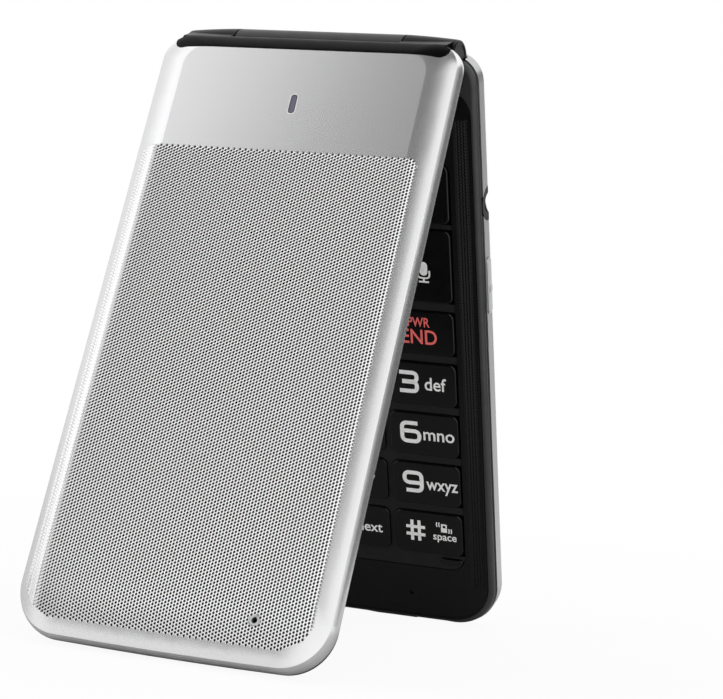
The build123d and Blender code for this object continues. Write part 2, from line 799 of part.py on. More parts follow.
def headset_jack():
    """The 3.5 mm socket, its mouth on the right side, its collar flush with the shells."""
    body = block(jack_inner, jack_collar_x, jack_y - jack_half_length, jack_y + jack_half_length,
                 jack_z - jack_half, jack_z + jack_half)
    collar = jack_bar(jack_collar, jack_collar_x, half_width)
    return body + (collar & base_envelope()) - jack_bar(jack_bore, jack_inner + jack_end, half_width + 1)


def usb_profile(grow=0.0):
    """The charging socket's trapezoid, seen from the side."""
    half = usb_width / 2 + grow
    near = usb_z - usb_height / 2 - grow
    far = usb_z + usb_height / 2 + grow
    face = make_face(Polyline((near, usb_y - half), (usb_z + 0.2, usb_y - half),
                              (far, usb_y - half + 0.9), (far, usb_y + half - 0.9),
                              (usb_z + 0.2, usb_y + half), (near, usb_y + half), close=True))
    return fillet(face.vertices(), 0.25)


def usb_port():
    """The charging socket: a pressed metal shell with the contact tongue inside."""
    outer = side_plate(usb_profile(), -half_width + 0.15, usb_depth - half_width)
    inner = side_plate(usb_profile(-0.3), -half_width - 1, usb_depth - half_width - 0.5)
    tongue = block(-half_width + 0.8, usb_depth - half_width, usb_y - 1.9, usb_y + 1.9,
                   usb_z - 0.3, usb_z + 0.3)
    return outer - inner + tongue


def battery_cover():
    """The silver back: a removable shell over the battery, camera and loudspeaker."""
    shell = base_envelope()
    step = base_depth - 2.6
    lower = rounded(-half_width + 2.6, half_width - 2.6, 2.6, reach - 3.6, 4.0)
    upper = rounded(-half_width + 3.8, half_width - 3.8, 3.4, reach - 5.2, 3.6)
    shell = shell - plate(lower, cover_split - 1, step) - plate(upper, cover_split - 1, bay_far)
    shell = shell - plate(outline(-3, -3, -3), 0, cover_split + seam) - clearance_barrel()
    shell = shell - jack_socket_hole() - jack_notch()
    shell = shell - post(0, camera_y, camera_radius + seam, base_depth - 2, base_depth + 1)
    for index in range(5):
        x = speaker_x + (index - 2) * slit_pitch
        slit = rounded(x - 0.35, x + 0.35, camera_y - 3.2, camera_y + 3.2, 0.34)
        shell = shell - plate(slit, base_depth - 2, base_depth + 1)
    nail = block(-6, 6, reach - 3.2, reach + 2, cover_split - 1, cover_split + 0.55)
    return shell - nail


def battery():
    """The battery pack."""
    pack = plate(rounded(-battery_half, battery_half, battery_top, battery_bottom, 1.5), battery_near,
                 bay_far - play)
    return fillet(pack.edges().filter_by(Axis.X), 0.4)


def battery_contacts():
    """The block of spring contacts at the top of the battery bay."""
    body = block(-5, 5, 45.1, 48.5, board_far, 6.6)
    for x in (-3.4, 0, 3.4):
        body = body + block(x - 0.6, x + 0.6, 48.5, 48.9, 5.2, 6.2)
    return body


def sim_reader():
    """The card holder beside the contacts."""
    holder = block(6.5, 22.5, 31.5, 47.5, cover_split, cover_split + 1.5)
    return holder - block(7.3, 21.7, 30, 46.7, cover_split + 0.3, cover_split + 1.1)


def loudspeaker():
    """The ringer behind the slits in the cover."""
    box = block(speaker_x - 7.4, speaker_x + 7.6, 6.2, 17.0, cover_split + 0.02, bay_far - 0.9)
    cone = plate(rounded(speaker_x - 5.9, speaker_x + 6.1, 7.6, 15.6, 3.5), bay_far - 0.9, bay_far - 0.3)
    return box + cone


def vibration_motor():
    """The small motor with its off-centre weight, as thick as the bay allows."""
    y = 38.0
    z = (cover_split + bay_far) / 2 + 0.02
    radius = (bay_far - cover_split) / 2 - 0.03
    can = Pos(-16, y, z) * Rot(0, 90, 0) * Cylinder(radius, 9)
    weight = Pos(-9.6, y, z) * Rot(0, 90, 0) * Cylinder(radius - 0.15, 3)
    weight = weight - block(-12, -7, y, y + 3, z - 3, z + 3)
    shaft = Pos(-11.5, y, z) * Rot(0, 90, 0) * Cylinder(0.4, 4)
    return can + weight + shaft


def rear_camera():
    """The camera module behind its window."""
    body = block(-4.2, 4.2, camera_y - 4.2, camera_y + 4.2, cover_split + 0.02, 8.0)
    return body + post(0, camera_y, 2.6, 8.0, base_depth - 0.6) - post(0, camera_y, 1.3, 9.0, 12)


def camera_window():
    """The round pane over the camera."""
    pane = post(0, camera_y, camera_radius, base_depth - 0.55, base_depth - 0.03)
    return chamfer(pane.faces().sort_by(Axis.Z)[-1].edges(), 0.12)


def antenna():
    """The folded antenna at the free end."""
    far = bay_far - 1.9
    strip = block(-19, 19, reach - 7.2, reach - 5.6, cover_split + 0.02, far)
    return strip - block(-17, 17, reach - 8, reach - 5, cover_split + 0.8, far - 0.8)


def microphone():
    """The microphone capsule behind its pinhole."""
    return post(mic_x, reach - mic_rise, 2.0, 1.75, board_near - 0.01)


def base_screws():
    """Four screws from the deck through the board into the front shell."""
    screws = []
    for x in (-screw_x, screw_x):
        for y in base_screw_rows:
            head_near = cover_split - screw_head_height
            head = post(x, y, screw_head, head_near, cover_split)
            head = head - block(x - 1, x + 1, y - 0.15, y + 0.15, cover_split - 0.3, 8)
            screws.append(head + post(x, y, screw_radius, 1.9, head_near))
    return screws


BASE_PARTS = {
    "base_front_shell": base_front_shell,
    "base_middle_shell": base_middle_shell,
    "battery_cover": battery_cover,
    "keypad_bezel": keypad_bezel,
    "keypad_mat": keypad_mat,
    "key_domes": key_domes,
    "nav_ring": nav_ring,
    "key_ok": key_ok,
    "main_board": main_board,
    "headset_jack": headset_jack,
    "usb_port": usb_port,
    "volume_rocker": volume_rocker,
    "side_key": side_key,
    "battery": battery,
    "battery_contacts": battery_contacts,
    "sim_reader": sim_reader,
    "loudspeaker": loudspeaker,
    "microphone": microphone,
    "vibration_motor": vibration_motor,
    "rear_camera": rear_camera,
    "camera_window": camera_window,
    "antenna": antenna,
    "base_screws": base_screws,
    "base_bumpers": base_bumpers,
    "centre_knuckle": centre_knuckle,
    "hinge_cartridge": hinge_cartridge,
    "hinge_bush": hinge_bush,
    "flex_coil": flex_coil,
}

LID_PARTS = {
    "lid_cover": lid_cover,
    "hinge_trim": hinge_trim,
    "hinge_end_caps": hinge_end_caps,
    "hinge_pins": hinge_pins,
    "lid_inner_frame": lid_inner_frame,
    "display_window": display_window,
    "display_panel": display_panel,
    "earpiece_mesh": earpiece_mesh,
    "earpiece": earpiece,
    "led_lens": led_lens,
    "lid_magnet": lid_magnet,
    "lid_screws": lid_screws,
    "lid_bumpers": lid_bumpers,
}


def as_compound(shape):
    """One shape from a piece or a list of pieces."""
    return Compound(children=list(shape)) if isinstance(shape, list) else shape


def build():
    """Every node in the standing telephone's frame: x to the right, y away, z up."""
    base_turn = Rot(lean, 0, 0) * Rot(-90, 0, 0)
    lid_turn = Rot(-lean, 0, 0) * Rot(0, 0, 180) * Rot(-90, 0, 0)
    nodes = {name: base_turn * as_compound(make()) for name, make in BASE_PARTS.items()}
    nodes.update({name: base_turn * key for name, key in plain_keys().items()})
    nodes.update({name: lid_turn * as_compound(make()) for name, make in LID_PARTS.items()})
    boxes = [shape.bounding_box() for shape in nodes.values()]
    floor = min(box.min.Z for box in boxes)
    middle = (min(box.min.Y for box in boxes) + max(box.max.Y for box in boxes)) / 2
    return {name: Pos(0, -middle, -floor) * shape for name, shape in nodes.items()}, -middle, -floor


if __name__ == "__main__":
    os.makedirs("parts", exist_ok=True)
    nodes, hinge_y, hinge_z = build()
    for name, shape in nodes.items():
        export_step(shape, f"parts/{name}.step")
    print(f"{len(nodes)} nodes, hinge axis at y {hinge_y:.3f}, z {hinge_z:.3f}")
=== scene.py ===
import json
import math

import bmesh
import bpy
from mathutils import Matrix, Vector


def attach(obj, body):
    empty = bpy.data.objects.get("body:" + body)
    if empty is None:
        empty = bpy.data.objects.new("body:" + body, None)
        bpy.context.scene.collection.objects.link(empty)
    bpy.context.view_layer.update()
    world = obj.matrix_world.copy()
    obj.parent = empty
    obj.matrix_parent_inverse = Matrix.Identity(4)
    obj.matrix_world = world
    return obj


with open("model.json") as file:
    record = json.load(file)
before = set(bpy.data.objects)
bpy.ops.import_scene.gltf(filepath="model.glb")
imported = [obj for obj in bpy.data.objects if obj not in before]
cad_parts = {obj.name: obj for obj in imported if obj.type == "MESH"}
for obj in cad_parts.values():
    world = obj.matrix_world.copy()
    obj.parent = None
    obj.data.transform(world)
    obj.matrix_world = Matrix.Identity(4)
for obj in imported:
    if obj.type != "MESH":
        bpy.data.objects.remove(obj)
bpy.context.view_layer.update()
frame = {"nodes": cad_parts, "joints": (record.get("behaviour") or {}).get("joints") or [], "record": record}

# ---- The two halves -----------------------------------------------------------------------------
# A flip phone that stands open like a tent. Each half's pieces are laid out on a face of its own:
# millimetres across, down from the hinge axis, and out from the plane where the halves meet when shut.
MM = 0.001
hinge = next(joint for joint in frame["joints"] if joint["name"] == "lid_hinge")
lean = math.radians(hinge["range_deg"][1] / 2)
SINE, COSINE = math.sin(lean), math.cos(lean)


def face_place(across, down, out):
    """The matrix from a half's face, in millimetres, to the frame, in metres."""
    turn = Matrix((across, down, out)).transposed().to_4x4()
    return Matrix.Translation(hinge["pos_m"]) @ turn @ Matrix.Scale(MM, 4)


LID = face_place((-1, 0, 0), (0, -SINE, -COSINE), (0, -COSINE, SINE))
BASE = face_place((1, 0, 0), (0, SINE, -COSINE), (0, COSINE, SINE))

# ---- Camera -------------------------------------------------------------------------------------
# A long lens looks at the phone from its right, level with the lid's middle, and slightly rolled.
PICTURE_WIDTH, PICTURE_HEIGHT = 723, 699
LENS_CENTRE = (298.14, 350.67)
FOCAL_PIXELS = 2260.1
SENSOR = 36.0
view_azimuth, view_height, view_roll = (math.radians(a) for a in (22.627, 1.434, 4.802))
view_distance = 384.97 * MM
view_drop = 50.0 * MM

level = math.cos(view_height)
back = Vector((math.sin(view_azimuth) * level, -math.cos(view_azimuth) * level, math.sin(view_height)))
camera = bpy.data.objects.new("camera", bpy.data.cameras.new("camera"))
bpy.context.scene.collection.objects.link(camera)
camera.matrix_world = (
    Matrix.Translation(Vector(hinge["pos_m"]) - Vector((0, 0, view_drop)) + back * view_distance)
    @ back.to_track_quat("Z", "Y").to_matrix().to_4x4()
    @ Matrix.Rotation(view_roll, 4, "Z")
)
camera.data.sensor_width = SENSOR
camera.data.lens = SENSOR * FOCAL_PIXELS / PICTURE_WIDTH
camera.data.shift_x = 0.5 - LENS_CENTRE[0] / PICTURE_WIDTH
camera.data.shift_y = (LENS_CENTRE[1] - PICTURE_HEIGHT / 2) / PICTURE_WIDTH
camera.data.clip_start = 10 * MM
bpy.context.scene.camera = camera


# ---- Studio -------------------------------------------------------------------------------------
# A white table and a white room, with a soft box at each side and one above. Grey screens that only
# reflections see stand round the phone, so that the silver paint shows its curves.
class Sock:
    """One output of a node. Its operators add Math nodes, and node() adds a node of any other kind."""

    def __init__(self, tree, socket=None):
        self.tree = tree
        self.socket = socket

    def node(self, kind, settings=(), inputs=(), output=0):
        """Adds a node. Its settings are set first, then the values or links of its inputs."""
        made = self.tree.nodes.new(kind)
        for name, value in dict(settings).items():
            setattr(made, name, value)
        for name, value in dict(inputs).items():
            if isinstance(value, Sock):
                self.tree.links.new(value.socket, made.inputs[name])
            else:
                made.inputs[name].default_value = value
        return Sock(self.tree, made.outputs[output])

    def other(self, output):
        """Another output of the same node."""
        return Sock(self.tree, self.socket.node.outputs[output])

    def math(self, operation, *values):
        return self.node("ShaderNodeMath", {"operation": operation}, enumerate(values))

    def __add__(self, other):
        return self.math("ADD", self, other)

    def __sub__(self, other):
        return self.math("SUBTRACT", self, other)

    def __mul__(self, other):
        return self.math("MULTIPLY", self, other)

    def __truediv__(self, other):
        return self.math("DIVIDE", self, other)

    def __rsub__(self, other):
        return self.math("SUBTRACT", other, self)

    def __abs__(self):
        return self.math("ABSOLUTE", self)

    __radd__ = __add__
    __rmul__ = __mul__

    def clipped(self, low=0.0, high=1.0):
        return self.math("MAXIMUM", self.math("MINIMUM", self, high), low)


def seen_by(start):
    """Whether the camera, a reflection or something clear sees a surface, each 0 or 1."""
    camera_ray = start.node("ShaderNodeLightPath", output="Is Camera Ray")
    return camera_ray, camera_ray.other("Is Glossy Ray"), camera_ray.other("Is Transmission Ray")


def new_material(name):
    """A material, and a Sock in its tree to add nodes with."""
    material = bpy.data.materials.new(name)
    material.use_nodes = True
    return material, Sock(material.node_tree)


def show(shader):
    """Puts a shader on the surface of the material that it is in."""
    shader.tree.links.new(shader.socket, shader.tree.nodes["Material Output"].inputs["Surface"])


def studio_mesh(name, points, faces, material):
    """A mesh that stands in the studio and is no part of the phone."""
    mesh = bpy.data.meshes.new(name)
    mesh.from_pydata(points, [], faces)
    mesh.materials.append(material)
    thing = bpy.data.objects.new(name, mesh)
    bpy.context.scene.collection.objects.link(thing)
    return thing


WHITE = (1, 1, 1, 1)
ROOM_LIGHT = 0.55

room = bpy.data.worlds.new("white_room")
bpy.context.scene.world = room
room.use_nodes = True
air = Sock(room.node_tree)
camera_ray, glossy_ray, through_ray = seen_by(air)
seen = camera_ray + glossy_ray + through_ray
brightness = air.node("ShaderNodeMapRange", {}, {"Value": seen, "To Min": ROOM_LIGHT, "To Max": 1.0})
walls = room.node_tree.nodes["Background"].inputs
walls["Color"].default_value = WHITE
room.node_tree.links.new(brightness.socket, walls["Strength"])

# The camera sees a white table with a faint shadow. Reflections see it dimmer close to the phone, where
# they see its real shading, and its white is painted darker for them too, a painted shade.
TABLE_HALF = 6000 * MM
TABLE_WHITE = 0.86
TABLE_REFLECTED_SHADE = 0.4
TABLE_SHADOW = 0.08
TABLE_FADE = 260 * MM
CONTACT_NEAR, CONTACT_FAR = 45 * MM, 150 * MM

table_white, top = new_material("table_white")
place = top.node("ShaderNodeTexCoord", output="Object")
distance = top.node("ShaderNodeVectorMath", {"operation": "LENGTH"}, {0: place}, "Value")
fade = (distance / TABLE_FADE).clipped()
contact = ((distance - CONTACT_NEAR) / (CONTACT_FAR - CONTACT_NEAR)).clipped()
camera_ray, glossy_ray, through_ray = seen_by(top)
matt = top.node("ShaderNodeBsdfDiffuse", {}, {"Color": (1 - glossy_ray * TABLE_REFLECTED_SHADE) * TABLE_WHITE})
lit = top.node("ShaderNodeEmission", {}, {"Color": WHITE, "Strength": 1.0})
blend = (camera_ray + through_ray).clipped() * (1 - (1 - fade) * TABLE_SHADOW) + glossy_ray * contact
show(top.node("ShaderNodeMixShader", {}, {0: blend.clipped(), 1: matt, 2: lit}))
corners = [(x * TABLE_HALF, y * TABLE_HALF, 0) for x, y in ((-1, -1), (1, -1), (1, 1), (-1, 1))]
studio_mesh("table", corners, [(0, 1, 2, 3)], table_white)

SCREEN_CENTRE = Vector((0, 0, 60 * MM))
SCREEN_STEP = 5
NEAR_SCREEN, FAR_SCREEN = 160 * MM, 600 * MM


def screen(name, azimuths, elevations, glow, radius=FAR_SCREEN):
    """A curved sheet round the phone, given by its bearings in degrees: 0 is ahead of the lid."""
    across = max(1, round((azimuths[1] - azimuths[0]) / SCREEN_STEP))
    up = max(1, round((elevations[1] - elevations[0]) / SCREEN_STEP))
    points = []
    for row in range(up + 1):
        height = math.radians(elevations[0] + (elevations[1] - elevations[0]) * row / up)
        for column in range(across + 1):
            turn = math.radians(azimuths[0] + (azimuths[1] - azimuths[0]) * column / across)
            ahead = Vector((math.sin(turn), -math.cos(turn), 0)) * math.cos(height)
            points.append(SCREEN_CENTRE + (ahead + Vector((0, 0, math.sin(height)))) * radius)
    wide = across + 1
    faces = [
        (r * wide + c, r * wide + c + 1, (r + 1) * wide + c + 1, (r + 1) * wide + c)
        for r in range(up) for c in range(across)
    ]
    material, start = new_material(name)
    show(start.node("ShaderNodeEmission", {}, {"Color": WHITE, "Strength": glow}))
    sheet = studio_mesh(name, points, faces, material)
    sheet.visible_camera = False
    sheet.visible_diffuse = False
    sheet.visible_shadow = False
    sheet.visible_transmission = False


screen("screen_front_high", (-33.0, 22.0), (28.0, 60.0), 0.1)
screen("screen_front_low", (-33.0, -12.0), (0.5, 28.0), 0.1)
screen("screen_top", (-55.0, 150.0), (60.0, 84.0), 0.03)
screen("screen_top_left", (-125.0, -55.0), (60.0, 84.0), 1.3)
screen("screen_left", (-95.0, -70.0), (15.0, 55.0), 0.74)
screen("screen_far_left", (-70.0, -46.0), (15.0, 55.0), 1.14)
screen("screen_left_low", (-95.0, -46.0), (-8.0, 15.0), 0.5)
screen("screen_right_high", (116.0, 152.0), (10.0, 32.0), 0.05, NEAR_SCREEN)
screen("screen_right_low", (106.0, 152.0), (-25.0, 10.0), 0.05, NEAR_SCREEN)


def soft_box(name, centre, size, power):
    """A rectangular lamp that faces the middle of the phone, in millimetres and watts."""
    lamp = bpy.data.objects.new(name, bpy.data.lights.new(name, "AREA"))
    bpy.context.scene.collection.objects.link(lamp)
    lamp.data.shape = "RECTANGLE"
    lamp.data.size, lamp.data.size_y = (side * MM for side in size)
    lamp.data.energy = power
    centre = Vector(centre) * MM
    facing = (centre - SCREEN_CENTRE).to_track_quat("Z", "Y").to_matrix().to_4x4()
    lamp.matrix_world = Matrix.Translation(centre) @ facing
    lamp.visible_camera = False
    lamp.visible_glossy = False


soft_box("soft_box_left", (-520, -240, 310), (280, 520), 1.1)
soft_box("soft_box_right", (560, -160, 160), (260, 520), 0.9)
soft_box("soft_box_above", (0, 60, 620), (500, 300), 0.7)

bpy.context.scene.view_settings.view_transform = "Standard"


# ---- Lid cover ----------------------------------------------------------------------------------
# The front shell of the lid is moulded plastic with satin silver paint. Its flat face meets rounded
# margins at a crease, and a fine knurling covers it below a smooth band at the hinge.
COAT_ROUGHNESS = 0.08


def finish(name, colour, roughness, metallic=0.0, coat=0.0, specular=0.5):
    """A material with its plain values set, and a Sock in its tree to draw patterns with."""
    material, start = new_material(name)
    inputs = material.node_tree.nodes["Principled BSDF"].inputs
    inputs["Base Color"].default_value = (*colour, 1)
    inputs["Roughness"].default_value = roughness
    inputs["Metallic"].default_value = metallic
    inputs["Coat Weight"].default_value = coat
    inputs["Coat Roughness"].default_value = COAT_ROUGHNESS
    inputs["Specular IOR Level"].default_value = specular
    return material, start


def feed(material, **links):
    """Links Socks to the shader's inputs: base_color=, roughness= or normal=."""
    shader = material.node_tree.nodes["Principled BSDF"]
    for name, sock in links.items():
        material.node_tree.links.new(sock.socket, shader.inputs[name.replace("_", " ").title()])


NOISE_LOW, NOISE_HIGH = 0.2, 0.8


def wander(start, size, low, high, detail=2.0):
    """A value that drifts between low and high over patches of about `size` millimetres."""
    place = start.node("ShaderNodeTexCoord", output="Object")
    patches = {"Vector": place, "Scale": 1 / (size * MM), "Detail": detail}
    noise = start.node("ShaderNodeTexNoise", {}, patches)
    return start.node("ShaderNodeMapRange", {"interpolation_type": "SMOOTHSTEP"}, {
        "Value": noise, "From Min": NOISE_LOW, "From Max": NOISE_HIGH, "To Min": low, "To Max": high,
    })


def tint(start, factor, dark, light):
    """A colour between two, by a factor."""
    inputs = {"Factor": factor, 6: (*dark, 1), 7: (*light, 1)}
    return start.node("ShaderNodeMix", {"data_type": "RGBA"}, inputs, 2)


def shades(colour, spread):
    """A colour made a little darker, and a little lighter."""
    return [c * (1 - spread) for c in colour], [min(1, c * (1 + spread)) for c in colour]


FLAKE = 0.9
CLOUD_SIZE, CLOUD_SPREAD = 14.0, 0.006


def silver_paint(name, colour, roughness):
    """Satin paint, even but for a faint cloudiness, with flake too fine to see."""
    material, start = finish(name, colour, roughness, metallic=FLAKE)
    clouds = wander(start, CLOUD_SIZE, 0.0, 1.0, detail=0.0)
    feed(material, base_color=tint(start, clouds, *shades(colour, CLOUD_SPREAD)))
    return material


def dress(material, *names):
    """Gives CAD nodes a material, by the names of their slots or their own names."""
    for piece in frame["record"]["subparts"]:
        if piece["material_slot"] in names or piece["node"] in names:
            mesh = frame["nodes"][piece["node"]].data
            mesh.materials.clear()
            mesh.materials.append(material)


SILVER = (0.95, 0.95, 0.96)
dress(silver_paint("silver_paint", SILVER, 0.27), "lid_silver", "back_silver")

# ---- Knurled fields -----------------------------------------------------------------------------
# The texture is moulded with the shell: a honeycomb of small pits whose floors are painted dark, a
# painted shade for the little light that reaches them. The pits die out towards the rounded margins.
MERGE_REACH = 0.01
RAY_START = 20.0


def knurl_tree():
    """Geometry Nodes: a honeycomb of pits inside a rounded rectangle, laid on a shell."""
    tree = bpy.data.node_groups.new("knurl", "GeometryNodeTree")
    tree.is_modifier = True
    named = {}
    for name, kind in (
        ("Shell", "Object"), ("Paint", "Material"), ("Columns", "Int"), ("Rows", "Int"),
        ("Middle X", "Float"), ("Middle Y", "Float"), ("Half Width", "Float"), ("Half Length", "Float"),
        ("Head Corner", "Float"), ("Foot Corner", "Float"), ("Inner Half", "Float"), ("Outer Half", "Float"),
        ("Hole X", "Float"), ("Hole Y", "Float"), ("Hole Radius", "Float"), ("Plus Fade", "Float"),
        ("Minus Fade", "Float"), ("Height", "Float"), ("Across Step", "Float"), ("Down Step", "Float"),
        ("Floor Share", "Float"), ("Floor Stretch", "Float"), ("Floor Slant", "Vector"), ("Base", "Float"),
        ("Sink", "Float"), ("Shore", "Float"), ("Hinge", "Vector"), ("Across", "Vector"), ("Down", "Vector"),
        ("Out", "Vector"),
    ):
        named[name] = tree.interface.new_socket(name, in_out="INPUT", socket_type="NodeSocket" + kind)
    tree.interface.new_socket("Geometry", in_out="OUTPUT", socket_type="NodeSocketGeometry")
    entry = tree.nodes.new("NodeGroupInput")
    start = Sock(tree)
    given = {name: Sock(tree, entry.outputs[name]) for name in named}

    # The lattice, with every other column half a step lower.
    columns, rows = given["Columns"], given["Rows"]
    across_step, down_step = given["Across Step"], given["Down Step"]
    lattice = start.node("GeometryNodeMeshGrid", {}, {
        "Size X": (columns - 1) * across_step, "Size Y": (rows - 1) * down_step,
        "Vertices X": columns, "Vertices Y": rows,
    })
    spot = start.node("GeometryNodeInputPosition")
    x = start.node("ShaderNodeSeparateXYZ", {}, {0: spot}, "X")
    y = start.node("ShaderNodeSeparateXYZ", {}, {0: spot}, "Y")
    column = start.math("ROUND", x / across_step + (columns - 1) * 0.5)
    odd = start.math("MODULO", column, 2.0)
    moved = start.node("ShaderNodeCombineXYZ", {}, {
        "X": x + given["Middle X"], "Y": y + given["Middle Y"] + (odd - 0.5) * 0.5 * down_step,
    })
    lattice = start.node("GeometryNodeSetPosition", {}, {"Geometry": lattice, "Position": moved})

    # Distance inside the field's outline, whose corners are rounder at the foot than at the head.
    away_x = abs(x - given["Middle X"])
    along = y - given["Middle Y"]
    at_foot = start.math("GREATER_THAN", along, 0.0)
    corner = given["Head Corner"] + (given["Foot Corner"] - given["Head Corner"]) * at_foot
    over_x = away_x - given["Half Width"] + corner
    over_y = abs(along) - given["Half Length"] + corner
    reach_x, reach_y = start.math("MAXIMUM", over_x, 0.0), start.math("MAXIMUM", over_y, 0.0)
    beyond = start.math("SQRT", reach_x * reach_x + reach_y * reach_y)
    inside = corner - beyond - start.math("MINIMUM", start.math("MAXIMUM", over_x, over_y), 0.0)
    off_x, off_y = x - given["Hole X"], y - given["Hole Y"]
    clear = start.math("SQRT", off_x * off_x + off_y * off_y) - given["Hole Radius"]
    edge = start.math("MINIMUM", inside, clear)
    outer = start.math("LESS_THAN", edge, 0.0)
    middle = start.math("LESS_THAN", away_x, given["Inner Half"])
    margin = start.math("GREATER_THAN", away_x, given["Outer Half"])
    lattice = start.node("GeometryNodeDeleteGeometry", {"domain": "POINT"}, {
        "Geometry": lattice, "Selection": outer + middle + margin,
    })

    # One pit of sixteen triangles: a six-sided rim that its neighbours share, walls and a small floor.
    ring = start.node("GeometryNodeMeshCircle", {"fill_type": "NGON"}, {
        "Vertices": 6, "Radius": down_step / math.sqrt(3),
    })
    pit = start.node("GeometryNodeExtrudeMesh", {}, {"Mesh": ring, "Offset Scale": 1.0, "Individual": False})
    floor = pit.other("Top")
    pit = start.node("GeometryNodeScaleElements", {}, {
        "Geometry": pit, "Selection": floor, "Scale": given["Floor Share"],
    })
    pit = start.node("GeometryNodeScaleElements", {"scale_mode": "SINGLE_AXIS"}, {
        "Geometry": pit, "Selection": floor, "Scale": given["Floor Stretch"], "Axis": given["Floor Slant"],
    })
    z = start.node("ShaderNodeSeparateXYZ", {}, {0: spot}, "Z")
    widened = start.node("ShaderNodeCombineXYZ", {}, {
        "X": 2 * across_step / (down_step * math.sqrt(3)), "Y": 1.0, "Z": 1.0,
    })
    field = start.node("GeometryNodeInstanceOnPoints", {}, {
        "Points": lattice, "Instance": pit, "Scale": widened,
    })
    field = start.node("GeometryNodeRealizeInstances", {}, {"Geometry": field})
    field = start.node("GeometryNodeMergeByDistance", {}, {"Geometry": field, "Distance": MERGE_REACH})

    # How open each pit is, less towards the field's sides. The painted shade in the pits reads it too.
    aside = x - given["Middle X"]
    fading = ((given["Half Width"] - aside) / given["Plus Fade"]).clipped() * (
        (given["Half Width"] + aside) / given["Minus Fade"]
    ).clipped()
    field = start.node("GeometryNodeStoreNamedAttribute", {"data_type": "FLOAT"}, {
        "Geometry": field, "Name": "crown", "Value": 1 - z * fading,
    })

    def scaled(vector, value):
        return start.node("ShaderNodeVectorMath", {"operation": "SCALE"}, {0: vector, "Scale": value})

    def total(*vectors):
        added = vectors[0]
        for vector in vectors[1:]:
            added = start.node("ShaderNodeVectorMath", {"operation": "ADD"}, {0: added, 1: vector})
        return added

    # Laid on the shell, with what misses it left out. At the outline the rim dips into it.
    above = total(
        given["Hinge"], scaled(given["Across"], x), scaled(given["Down"], y), scaled(given["Out"], RAY_START)
    )
    shell = start.node(
        "GeometryNodeObjectInfo", {"transform_space": "ORIGINAL"}, {"Object": given["Shell"]}, "Geometry"
    )
    landing = start.node("GeometryNodeRaycast", {}, {
        "Target Geometry": shell, "Source Position": above,
        "Ray Direction": scaled(given["Out"], -1.0), "Ray Length": 1.0,
    }, "Is Hit")
    field = start.node("GeometryNodeDeleteGeometry", {"domain": "POINT"}, {
        "Geometry": field, "Selection": 1 - landing,
    })
    sink, shore = given["Sink"], given["Shore"]
    ashore = ((edge + shore) / shore).clipped()
    lift = (given["Height"] + sink) * ashore * (1 - z * fading) - sink * (1 - z) + given["Base"] * z
    landed = total(landing.other("Hit Position"), scaled(landing.other("Hit Normal"), lift * MM))
    field = start.node("GeometryNodeSetPosition", {}, {"Geometry": field, "Position": landed})
    field = start.node("GeometryNodeSetShadeSmooth", {}, {"Geometry": field, "Shade Smooth": False})
    field = start.node("GeometryNodeSetMaterial", {}, {"Geometry": field, "Material": given["Paint"]})
    leave = tree.nodes.new("NodeGroupOutput")
    tree.links.new(field.socket, leave.inputs["Geometry"])
    return tree, {name: socket.identifier for name, socket in named.items()}


def plain_mesh(name, modified):
    """The evaluated object as a plain mesh object, and the object it came from is removed."""
    evaluated = modified.evaluated_get(bpy.context.evaluated_depsgraph_get())
    piece = bpy.data.objects.new(name, bpy.data.meshes.new_from_object(evaluated))
    bpy.data.objects.remove(modified)
    bpy.context.scene.collection.objects.link(piece)
    return piece


knurl, knurl_inputs = knurl_tree()

# The pits' own sizes in millimetres: their spacing, their floors, how far a floor lies above the
# shell, and how deep the field's outline dips into it over how wide a strip.
PITS = dict(
    across_step=0.5176, down_step=0.5784, floor_share=0.42, floor_stretch=1.4,
    floor_slant=(0.45, 0.89, 0.0), base=0.012, sink=0.06, shore=0.3,
)
# A field that reaches from side to side and has no hole.
WHOLE = dict(inner_half=-1.0, outer_half=30.0, hole_x=0.0, hole_y=0.0, hole_radius=0.0)


def knurled(name, shell, half, paint, **sizes):
    """A field of pits on a CAD node, as a piece with the sizes given in millimetres."""
    holder = bpy.data.objects.new("knurl_holder", bpy.data.meshes.new("knurl_holder"))
    bpy.context.scene.collection.objects.link(holder)
    modifier = holder.modifiers.new("knurl", "NODES")
    modifier.node_group = knurl
    sizes = {key.replace("_", " ").title(): value for key, value in {**PITS, **WHOLE, **sizes}.items()}
    sizes["Columns"] = 2 * math.ceil(sizes["Half Width"] / sizes["Across Step"]) + 1
    sizes["Rows"] = 2 * math.ceil(sizes["Half Length"] / sizes["Down Step"]) + 1
    for key, column in (("Across", 0), ("Down", 1), ("Out", 2), ("Hinge", 3)):
        sizes[key] = half.col[column].to_3d()
    for key, value in {**sizes, "Shell": frame["nodes"][shell], "Paint": paint}.items():
        modifier[knurl_inputs[key]] = value
    return plain_mesh(name, holder)


def relief(start, height, depth):
    """A normal from a height of 0 to 1 that stands for `depth` millimetres."""
    return start.node("ShaderNodeBump", {}, {"Strength": 1.0, "Distance": depth * MM, "Height": height})


# The pits' floors take a painted shade that gives way to the rim's colour up their walls between
# these heights, and the paint has a grain of its own.
SHADE_FULL_BELOW, SHADE_CLEAR_ABOVE = 0.05, 0.45
PAINT_GRAIN, PAINT_DEPTH = 0.12, 0.002


def knurl_paint(name, floor, rim, roughness, metallic, specular=0.5):
    """Painted shade on the pits' floors, and the rim's own colour on their rims."""
    material, start = finish(name, rim, roughness, metallic, specular=specular)
    crown = start.node("ShaderNodeAttribute", {"attribute_name": "crown"}, {}, "Fac")
    out_of_shade = start.node("ShaderNodeMapRange", {"interpolation_type": "SMOOTHSTEP"}, {
        "Value": crown, "From Min": SHADE_FULL_BELOW, "From Max": SHADE_CLEAR_ABOVE,
    })
    feed(
        material,
        base_color=tint(start, out_of_shade, floor, rim),
        normal=relief(start, wander(start, PAINT_GRAIN, 0.0, 1.0), PAINT_DEPTH),
    )
    return material
